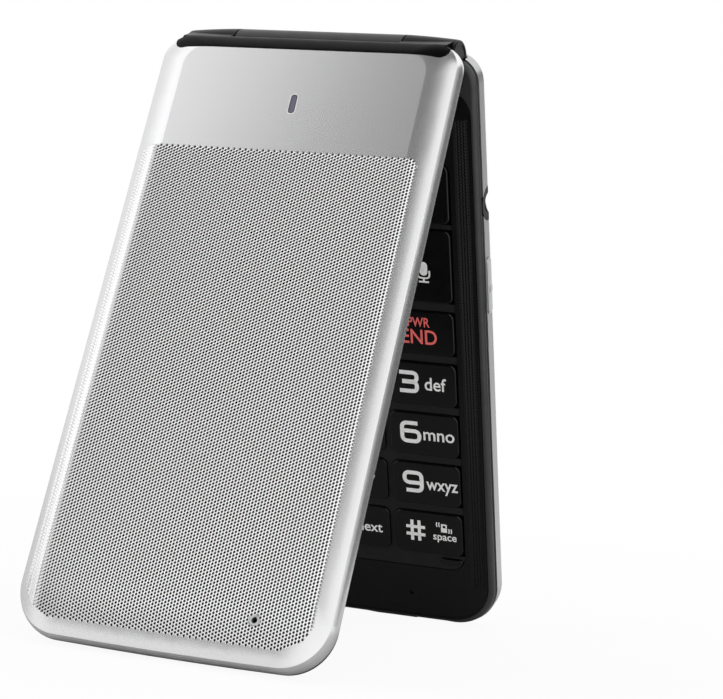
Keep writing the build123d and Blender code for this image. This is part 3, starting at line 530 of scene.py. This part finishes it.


# The pits' floors are painted near black, a painted shade.
PIT_FLOOR_SHADE = (0.007, 0.0075, 0.008)
BARE_RIM = (0.97, 0.97, 0.97)
silver_knurl = knurl_paint("silver_knurl", PIT_FLOOR_SHADE, BARE_RIM, 0.25, 1.0)
FIELD_HEIGHT = 0.1
FIELD_SPLIT = 18.0
LID_FIELD = dict(
    middle_x=0.6, middle_y=62.4, half_width=24.8, half_length=41.1, head_corner=2.2, foot_corner=6.2,
    hole_x=-14.6, hole_y=99.5, hole_radius=0.9, plus_fade=3.5, minus_fade=0.7, height=FIELD_HEIGHT,
)
BACK_FIELD = dict(
    middle_x=0.0, middle_y=61.8, half_width=24.2, half_length=40.4, head_corner=0.8, foot_corner=7.0,
    plus_fade=0.7, minus_fade=0.7, height=FIELD_HEIGHT,
)
for name, shell, half, body, slot, sizes in (
    ("lid_knurl", "lid_cover", LID, "lid", "lid_silver", LID_FIELD),
    ("back_knurl", "battery_cover", BASE, "back_cover", "back_silver", BACK_FIELD),
):
    # Each field is two pieces, its flat and its margins, so that neither has too many faces.
    for share, limits in (("_flat", {"outer_half": FIELD_SPLIT}), ("_margin", {"inner_half": FIELD_SPLIT})):
        field = knurled(name + share, shell, half, silver_knurl, **sizes, **limits)
        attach(field, body)

# ---- Indicator lens and microphone hole ---------------------------------------------------------
# A slim clear lens over a lamp sits in a pale rim below the hinge, and a small sound hole near the
# lid's free end has a turned bright rim. Both are pressed into the cover.

# A moulding's colour and gloss drift over patches that are some grains wide.
COLOUR_PATCH, COLOUR_SPREAD = 6, 0.12
GLOSS_PATCH, GLOSS_SPREAD = 9, 0.04


def moulded(name, colour, roughness, grain=0.35, depth=0.004, coat=0.0, metallic=0.0, specular=0.5):
    """Moulded plastic or rubber with a fine grain from its tool."""
    material, start = finish(name, colour, roughness, metallic, coat, specular)
    feed(
        material,
        base_color=tint(start, wander(start, grain * COLOUR_PATCH, 0.0, 1.0), *shades(colour, COLOUR_SPREAD)),
        roughness=wander(start, grain * GLOSS_PATCH, roughness - GLOSS_SPREAD, roughness + GLOSS_SPREAD),
        normal=relief(start, wander(start, grain, 0.0, 1.0), depth),
    )
    return material


ARC_STEPS = 6
ROUND_STEPS = 28
# A corner takes a little less than half of the run on each side of it.
CORNER_SHARE = 1 / 2.01


def rounded(points, radius, closed):
    """The points of a path whose corners are drawn round."""
    path = []
    for i, point in enumerate(points):
        here = Vector(point)
        if not closed and i in (0, len(points) - 1):
            path.append(here)
            continue
        before = Vector(points[i - 1]) - here
        after = Vector(points[(i + 1) % len(points)]) - here
        reach = min(radius, before.length * CORNER_SHARE, after.length * CORNER_SHARE)
        first, last = here + before.normalized() * reach, here + after.normalized() * reach
        for step in range(ARC_STEPS + 1):
            t = step / ARC_STEPS
            path.append(first * (1 - t) ** 2 + here * 2 * t * (1 - t) + last * t * t)
    return path


def ribbon(mesh, points, width, corner=0.0, closed=False):
    """Adds a flat stroke of even width along a path to a bmesh."""
    path = rounded(points, corner, closed)
    sides = []
    for i, here in enumerate(path):
        before = path[i - 1] if closed or i > 0 else here
        after = path[(i + 1) % len(path)] if closed or i < len(path) - 1 else here
        along = (after - before).normalized()
        across = Vector((-along.y, along.x)) * width / 2
        sides.append([mesh.verts.new((*(here + across * side), 0)) for side in (1, -1)])
    following = sides[1:] + sides[:1] if closed else sides[1:]
    for (a, b), (c, d) in zip(sides, following):
        mesh.faces.new((a, b, d, c))


def circle(centre, radius):
    """Points round a circle."""
    turns = (2 * math.pi * step / ROUND_STEPS for step in range(ROUND_STEPS))
    return [(centre[0] + radius * math.cos(turn), centre[1] + radius * math.sin(turn)) for turn in turns]


def hoop(mesh, centre, radius, width):
    """Adds a flat ring to a bmesh."""
    ribbon(mesh, circle(centre, radius), width, closed=True)


def lay(name, mesh, face, out, material, body):
    """Lays a bmesh on a face, some millimetres out, as a piece that rides a body."""
    data = bpy.data.meshes.new(name)
    mesh.to_mesh(data)
    mesh.free()
    data.transform(face @ Matrix.Translation((0, 0, out)))
    data.materials.append(material)
    piece = bpy.data.objects.new(name, data)
    bpy.context.scene.collection.objects.link(piece)
    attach(piece, body)


def outermost(node, face):
    """How far out from a face's plane a CAD node reaches, in millimetres."""
    back_to_face = face.inverted()
    return max((back_to_face @ vertex.co).z for vertex in frame["nodes"][node].data.vertices)


# Flat marks are drawn with y up, so their face counts up from the hinge axis.
LID_FRONT = LID @ Matrix.Rotation(math.pi, 4, "Z")
PROUD = 0.02

bright_rim = moulded("bright_rim", (0.95, 0.95, 0.95), 0.35, grain=0.1, depth=0.0005)
dark_rim = moulded("dark_rim", (0.035, 0.033, 0.042), 0.3, grain=0.1, depth=0.0005)
dress(moulded("led_clear", (0.17, 0.16, 0.215), 0.2, coat=1.0), "led_clear")
LED_Y, LED_WIDE, LED_TALL = 12.64, 1.1, 3.4
LED_ROUND = 1.3
lid_face = outermost("lid_cover", LID_FRONT)
for name, grow, width, material in (
    ("led_rim", 0.1, 0.16, bright_rim),
    ("led_seat", -0.04, 0.14, dark_rim),
):
    half_wide, half_tall = LED_WIDE / 2 + grow, LED_TALL / 2 + grow
    mesh = bmesh.new()
    ribbon(mesh, [
        (-half_wide, -LED_Y - half_tall), (half_wide, -LED_Y - half_tall),
        (half_wide, -LED_Y + half_tall), (-half_wide, -LED_Y + half_tall),
    ], width, corner=half_wide * LED_ROUND, closed=True)
    lay(name, mesh, LID_FRONT, lid_face + PROUD, material, "lid")

MIC_HOLE, MIC_RADIUS = (-LID_FIELD["hole_x"], -LID_FIELD["hole_y"]), 0.5
MIC_RIM_OUT, MIC_RIM_WIDTH = 0.15, 0.28
mesh = bmesh.new()
hoop(mesh, MIC_HOLE, MIC_RADIUS + MIC_RIM_OUT, MIC_RIM_WIDTH)
lay("mic_rim", mesh, LID_FRONT, lid_face + FIELD_HEIGHT + PROUD, bright_rim, "lid")

# ---- Hinge --------------------------------------------------------------------------------------
# The barrel has three knuckles of black plastic. The outer two are one piece with the trim along the
# lid and end in pressed caps. Steel pins, a cam cartridge and a coiled flex lie inside.
SATIN_GRAIN = dict(grain=0.25, depth=0.003)
hinge_black = moulded("hinge_black", (0.007, 0.0073, 0.0076), 0.36, specular=0.42, **SATIN_GRAIN)
dress(hinge_black, "centre_knuckle")
# The trim and its outer knuckles are the centre knuckle's black plastic, with their black painted darker as a
# painted shade.
shaded_trim_black = moulded("shaded_trim_black", (0.0015, 0.0015, 0.0017), 0.33, specular=0.12, **SATIN_GRAIN)
dress(shaded_trim_black, "hinge_trim")
dress(moulded("cap_black", (0.002, 0.002, 0.002), 0.3, specular=0.2), "cap_black")
dress(moulded("flex_amber", (0.45, 0.2, 0.05), 0.3), "flex_amber")

# ---- Lid inner frame, display and earpiece ------------------------------------------------------
# A dark moulded frame closes the lid from inside and holds the clear window, the display behind it
# and the woven screen of the earpiece. Its edge shows as a grey line beside the silver cover.
dress(moulded("frame_grey", (0.05, 0.05, 0.053), 0.42, metallic=0.2), "frame_grey")
window, start = finish("window_glass", (0.004, 0.004, 0.005), 0.04, coat=1.0)
SMEAR_SIZE, CLEAN_GLASS, SMEARED_GLASS = 9.0, 0.03, 0.06
feed(window, roughness=wander(start, SMEAR_SIZE, CLEAN_GLASS, SMEARED_GLASS))
dress(window, "window_glass", "camera_glass")
dress(moulded("display_dark", (0.01, 0.011, 0.014), 0.12), "display_dark")

# ---- Base front shell and keypad bezel ----------------------------------------------------------
# The base's front is a dark grey shell with a black plate in it. The plate has a fine lip round the
# keys and a knurled rail along each side, moulded with it.
dress(moulded("shell_grey", (0.042, 0.043, 0.044), 0.4), "shell_grey")
dress(moulded("bezel_black", (0.0055, 0.0055, 0.0055), 0.36, specular=0.3), "bezel_black")
# The mat's black is painted lighter than the keys' black, a painted light that offsets the shade it lies in.
dress(moulded("mat_black", (0.014, 0.014, 0.014), 0.5, specular=0.3), "mat_black")
dress(moulded("stop_black", (0.002, 0.002, 0.002), 0.08), "stop_black")

# The keypad's face has y up for the prints, and counts down from the hinge axis for the rails.
KEY_FACE = face_place((1, 0, 0), (0, -SINE, COSINE), (0, -COSINE, -SINE))
KEYPAD_DOWN = KEY_FACE @ Matrix.Rotation(math.pi, 4, "Z")
RAIL_MIDDLE, RAIL_HALF, RAIL_TOP, RAIL_FOOT = 23.95, 1.3, 10.0, 98.0
RAIL_EDGE, RAIL_HEIGHT = 0.3, 0.09
# The rails' pits have floors painted darker than their rims, a painted shade.
RAIL_FLOOR_SHADE, RAIL_RIM = (0.0005, 0.0005, 0.0005), (0.006, 0.006, 0.006)
black_knurl = knurl_paint("black_knurl", RAIL_FLOOR_SHADE, RAIL_RIM, 0.3, 0.0, specular=0.3)
for name, side in (("rail_knurl_left", 1), ("rail_knurl_right", -1)):
    field = knurled(
        name, "keypad_bezel", KEYPAD_DOWN, black_knurl, middle_x=side * RAIL_MIDDLE,
        middle_y=(RAIL_TOP + RAIL_FOOT) / 2, half_width=RAIL_HALF, half_length=(RAIL_FOOT - RAIL_TOP) / 2,
        head_corner=RAIL_EDGE, foot_corner=RAIL_EDGE, plus_fade=RAIL_EDGE, minus_fade=RAIL_EDGE,
        height=RAIL_HEIGHT,
    )
    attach(field, "base")

# ---- Keys and their legends ---------------------------------------------------------------------
# Black moulded caps on a rubber mat, with rounded edges. The legends are printed in pale grey, in
# red on the end key and in green on the send key.
key_black = moulded("key_black", (0.004, 0.004, 0.004), 0.2, grain=0.2, depth=0.001, specular=0.38)
dress(key_black, "key_black")
# How strongly the legends glow: a painted light that lifts them in the shade under the lid.
LEGEND_GLOW = 0.22


def ink(name, colour):
    """Matt ink over a key's window, with a faint painted glow that lifts it in the shade under the lid."""
    material = moulded(name, colour, 0.5, grain=0.1, depth=0.001)
    inputs = material.node_tree.nodes["Principled BSDF"].inputs
    inputs["Emission Color"].default_value = (*colour, 1)
    inputs["Emission Strength"].default_value = LEGEND_GLOW
    return material


grey_ink = ink("grey_ink", (0.75, 0.75, 0.74))
red_ink = ink("red_ink", (0.75, 0.13, 0.12))
green_ink = ink("green_ink", (0.12, 0.5, 0.2))

# How tall the plain font's capitals and small letters are, for a font size of one.
FONT_CAPS, FONT_SMALL = 0.682, 0.449
LETTER_WEIGHT = 0.012
CURVE_STEPS = 4


def lettering(mesh, text, middle, baseline, width, tall, letter_share):
    """Adds plain lettering of a width and a height, centred on `middle`."""
    curve = bpy.data.curves.new("lettering", "FONT")
    curve.body = text
    curve.offset = LETTER_WEIGHT
    curve.resolution_u = CURVE_STEPS
    holder = bpy.data.objects.new("lettering", curve)
    bpy.context.scene.collection.objects.link(holder)
    flat = bpy.data.meshes.new_from_object(holder.evaluated_get(bpy.context.evaluated_depsgraph_get()))
    bpy.data.objects.remove(holder)
    left = min(vertex.co.x for vertex in flat.vertices)
    right = max(vertex.co.x for vertex in flat.vertices)
    stretch = Matrix.Diagonal((width / (right - left), tall / letter_share, 1, 1))
    centred = Matrix.Translation((-(left + right) / 2, 0, 0))
    flat.transform(Matrix.Translation((middle, baseline, 0)) @ stretch @ centred)
    mesh.from_mesh(flat)


# Each sign is a list of strokes in a square that counts right and up from its lower left corner.
SIGN_SIZE, SIGN_STROKE, SIGN_CORNER = (3.25, 3.51), 0.75, 1.0
SIGNS = {
    "1": (((0.3, 0.78), (0.62, 1), (0.62, 0)),),
    "2": (((0, 1), (1, 1), (1, 0.5), (0, 0.5), (0, 0), (1, 0)),),
    "3": (((0, 1), (1, 1), (1, 0.52), (0.15, 0.52)), ((0.15, 0.5), (1, 0.5), (1, 0), (0, 0))),
    "4": (((0.1, 1), (0, 0.32), (1.02, 0.32)), ((0.72, 0.62), (0.72, 0))),
    "5": (((0.95, 1), (0, 1), (0, 0.56), (1, 0.56), (1, 0), (0, 0)),),
    "6": (((0.92, 1), (0, 1), (0, 0), (1, 0), (1, 0.56), (0, 0.56)),),
    "7": (((0, 1), (1, 1), (0.4, 0)),),
    "8": (
        ((0.5, 1), (1, 1), (1, 0.52), (0, 0.52), (0, 1), (0.5, 1)),
        ((0.5, 0.5), (1, 0.5), (1, 0), (0, 0), (0, 0.5), (0.5, 0.5)),
    ),
    "9": (((0.08, 0), (1, 0), (1, 1), (0, 1), (0, 0.44), (1, 0.44)),),
    "0": (((0.5, 1), (1, 1), (1, 0), (0, 0), (0, 1), (0.5, 1)),),
    "hash": (
        ((0.3, 1.08), (0.3, -0.08)), ((0.72, 1.08), (0.72, -0.08)),
        ((-0.05, 0.7), (1.07, 0.7)), ((-0.05, 0.28), (1.07, 0.28)),
    ),
    "star": (((0.5, 0.95), (0.5, 0.05)), ((0.1, 0.73), (0.9, 0.27)), ((0.1, 0.27), (0.9, 0.73))),
}
COLUMN_STEP, ROW_STEP, FIRST_ROW = 14.975, 9.74, 58.69
SIGN_LEFT, SIGN_UP = -2.5, 0.3
THIN_SIGN = 0.8
SMALL_BASE, SMALL_TALL = -1.0, 1.55

# Each sign with its small letters: how far right of the key's middle, how wide and how tall they are.
NUMBER_KEYS = (
    ("1", None), ("2", ("abc", 2.8, 4.3, SMALL_TALL)), ("3", ("def", 2.6, 4.02, SMALL_TALL)),
    ("4", ("ghi", 2.7, 4.2, SMALL_TALL)), ("5", ("jkl", 2.5, 3.4, SMALL_TALL)),
    ("6", ("mno", 2.82, 5.85, SMALL_TALL)), ("7", ("pqrs", 2.9, 6.0, SMALL_TALL)),
    ("8", ("tuv", 2.8, 4.6, SMALL_TALL)), ("9", ("wxyz", 3.0, 5.98, SMALL_TALL)), ("star", None),
    ("0", ("next", 3.58, 4.87, 1.25)), ("hash", None),
)
PRINT_OUT = 0.03


def print_key(name, mesh, colour=grey_ink):
    """Lays a print on a key, and the print rides that key."""
    out = outermost(name, KEY_FACE) + PRINT_OUT
    lay(name + "_print", mesh, KEY_FACE, out, colour, name)


def draw(mesh, middle, width, *points, corner=0.0, closed=False):
    """Adds a stroke whose points are given from a middle."""
    ribbon(mesh, [(middle[0] + x, middle[1] + y) for x, y in points], width, corner, closed)


ICON_LEFT = 2.7
ARROW_STROKE = 0.35
ICON_STROKE = 0.3
LOOP_RADIUS = 0.62
for index, (sign, letters) in enumerate(NUMBER_KEYS):
    row, column = divmod(index, 3)
    key_x, key_y = (column - 1) * COLUMN_STEP, -(FIRST_ROW + row * ROW_STEP)
    mesh = bmesh.new()
    stroke = SIGN_STROKE * (THIN_SIGN if sign in ("hash", "star") else 1.0)
    for points in SIGNS[sign]:
        path = [((right - 0.5) * SIGN_SIZE[0], (up - 0.5) * SIGN_SIZE[1]) for right, up in points]
        draw(mesh, (key_x + SIGN_LEFT, key_y + SIGN_UP), stroke, *path, corner=SIGN_CORNER)
    if letters:
        text, aside, width, tall = letters
        lettering(mesh, text, key_x + aside, key_y + SMALL_BASE, width, tall, FONT_SMALL)
    icon = (key_x + ICON_LEFT, key_y)
    if sign == "1":
        # Two loops of tape, for recorded messages.
        for side in (-1, 1):
            hoop(mesh, (icon[0] + side * 1.1, icon[1]), LOOP_RADIUS, ICON_STROKE)
        draw(mesh, icon, ICON_STROKE, (-1.1, -LOOP_RADIUS), (1.1, -LOOP_RADIUS))
    if sign == "star":
        # An arrow, for capitals.
        draw(mesh, icon, ARROW_STROKE, (-1.0, -0.3), (0, 1.0), (1.0, -0.3))
        draw(mesh, icon, ARROW_STROKE, (0, 0.7), (0, -1.4))
    if sign == "hash":
        # A shaking telephone, for silent ringing, over the word for a blank.
        lettering(mesh, "space", key_x + 3.1, key_y - 1.1, 4.5, 0.95, FONT_SMALL)
        icon = (key_x + 3.0, key_y + 1.4)
        draw(mesh, icon, 1.15, (0, -0.9), (0, -0.05))
        draw(mesh, icon, 0.3, (-0.4, -0.1), (-0.4, 0.75))
        draw(mesh, icon, 0.28, (-0.4, 0.6), (0.42, 0.6), (0.42, 0))
        for side in (-1, 1):
            for away in (1.0, 1.45):
                shake = (icon[0] + side * away, icon[1] - side * 0.55)
                draw(mesh, shake, 0.22, (-side * 0.12, -0.45), (0, 0), (-side * 0.12, 0.45), corner=0.3)
    print_key("key_" + sign, mesh)

# The call row has words: each with its baseline, width and height.
for name, column, colour, words in (
    ("key_end", 1, red_ink, (("PWR", -47.75, 4.05, 1.7), ("END", -50.95, 6.6, 2.6))),
    ("key_send", -1, green_ink, (("SEND", -50.2, 7.2, 2.4),)),
    ("key_clear", 0, grey_ink, (("CLR", -49.9, 5.0, 2.0),)),
):
    mesh = bmesh.new()
    for text, baseline, width, tall in words:
        lettering(mesh, text, column * COLUMN_STEP, baseline, width, tall, FONT_CAPS)
    print_key(name, mesh, colour)

# The voice key has a microphone and the camera key a camera. The soft keys have a dash each.
VOICE, CAMERA_KEY = (16.35, -37.45), (-16.35, -37.6)
BULB, CRADLE, STAND, FOOT = 0.71, 1.07, -1.85, 0.93
mesh = bmesh.new()
draw(mesh, VOICE, 2 * BULB, (0, 1.1), (0, 0))
for up in (1.1, 0.0):
    rim = circle((VOICE[0], VOICE[1] + up), BULB)
    mesh.faces.new([mesh.verts.new((*point, 0)) for point in rim])
cradle = ((-CRADLE, 0.25), (-CRADLE, -1.15), (CRADLE, -1.15), (CRADLE, 0.25))
draw(mesh, VOICE, ICON_STROKE, *cradle, corner=1.05)
draw(mesh, VOICE, ARROW_STROKE, (0, -1.15), (0, STAND))
draw(mesh, VOICE, ICON_STROKE, (-FOOT, STAND), (FOOT, STAND))
print_key("key_voice", mesh)
mesh = bmesh.new()
outline = ((-1.9, -1.2), (1.9, -1.2), (1.9, 1.2), (-1.9, 1.2))
draw(mesh, CAMERA_KEY, ARROW_STROKE, *outline, corner=0.5, closed=True)
hoop(mesh, CAMERA_KEY, LOOP_RADIUS, ICON_STROKE)
print_key("key_camera", mesh)
SOFT_ACROSS, SOFT_Y, DASH_HALF, DASH_STROKE = 17.35, -23.35, 1.4, 0.45
for name, side in (("key_soft_left", -1), ("key_soft_right", 1)):
    mesh = bmesh.new()
    draw(mesh, (side * SOFT_ACROSS, SOFT_Y), DASH_STROKE, (-DASH_HALF, 0), (DASH_HALF, 0))
    print_key(name, mesh)

# The ring has a triangle on each of its four sides.
RING_Y, RING_ACROSS, RING_UP = -30.6, 8.7, 9.2
TIP, TAIL = 0.7, 0.5
mesh = bmesh.new()
for way in (Vector((1, 0)), Vector((0, 1)), Vector((-1, 0)), Vector((0, -1))):
    aside = Vector((-way.y, way.x))
    middle = Vector((way.x * RING_ACROSS, RING_Y + way.y * RING_UP))
    corners = (middle + way * TIP, middle - way * TAIL + aside, middle - way * TAIL - aside)
    mesh.faces.new([mesh.verts.new((*corner, 0)) for corner in corners])
print_key("nav_ring", mesh)
mesh = bmesh.new()
lettering(mesh, "OK", 0.0, RING_Y - 1.05, 3.6, 2.1, FONT_CAPS)
print_key("key_ok", mesh)

# ---- Side walls of the base, their keys and sockets ---------------------------------------------
# A satin silver shell carries the volume rocker and the charging socket on its left, and the side
# key and the headset socket on its right. The rocker's marks are printed.
dress(silver_paint("side_silver", (0.6, 0.6, 0.61), 0.32), "side_silver")
dress(silver_paint("control_silver", (0.8, 0.8, 0.81), 0.28), "control_silver")
dress(moulded("jack_black", (0.004, 0.004, 0.004), 0.4, specular=0.3), "jack_black")
dress(moulded("usb_metal", (0.5, 0.5, 0.5), 0.25, metallic=1.0), "usb_metal")
dark_mark = moulded("dark_mark", (0.03, 0.03, 0.03), 0.5, grain=0.1, depth=0.001)

# The base's left side, with y up and the keypad to the right.
SIDE_FACE = face_place((0, -COSINE, -SINE), (0, -SINE, COSINE), (-1, 0, 0))
ROCKER_LEFT, LOUDER_TIP, SOFTER_TIP, ROCKER_WAIST = -3.55, -24.0, -40.2, -33.4
MARK_HALF, MARK_TALL, MARK_STROKE, MARK_OUT = 0.5, 1.4, 0.14, 0.01
WAIST_HALF, WAIST_STROKE = 0.8, 0.12
mesh = bmesh.new()
for tip, foot in ((LOUDER_TIP, -MARK_TALL), (SOFTER_TIP, MARK_TALL)):
    triangle = ((0, 0), (-MARK_HALF, foot), (MARK_HALF, foot))
    draw(mesh, (ROCKER_LEFT, tip), MARK_STROKE, *triangle, closed=True)
draw(mesh, (ROCKER_LEFT, ROCKER_WAIST), WAIST_STROKE, (-WAIST_HALF, 0), (WAIST_HALF, 0))
rocker_face = outermost("volume_rocker", SIDE_FACE)
lay("rocker_marks", mesh, SIDE_FACE, rocker_face + MARK_OUT, dark_mark, "rocker")

# ---- Inside the base and the lid ----------------------------------------------------------------
# The board, battery, contacts, modules and fasteners that the shells hide. The steel parts are
# turned or pressed, the board is lacquered, and the modules are potted in black plastic.
steel, start = finish("steel", (0.5, 0.5, 0.5), 0.3, metallic=1.0)
POLISH_SIZE, POLISHED, DULL = 0.6, 0.24, 0.36
TOOL_MARKS, MARK_DEPTH = 0.2, 0.003
feed(
    steel,
    roughness=wander(start, POLISH_SIZE, POLISHED, DULL),
    normal=relief(start, wander(start, TOOL_MARKS, 0.0, 1.0), MARK_DEPTH),
)
dress(steel, "steel")
dress(moulded("board_green", (0.02, 0.12, 0.06), 0.4, grain=0.5), "board_green")
dress(moulded("battery_grey", (0.25, 0.26, 0.28), 0.5, grain=0.6), "battery_grey")
dress(moulded("contact_gold", (0.6, 0.45, 0.2), 0.25, metallic=1.0), "contact_gold")
dress(moulded("module_black", (0.03, 0.03, 0.03), 0.5), "module_black")
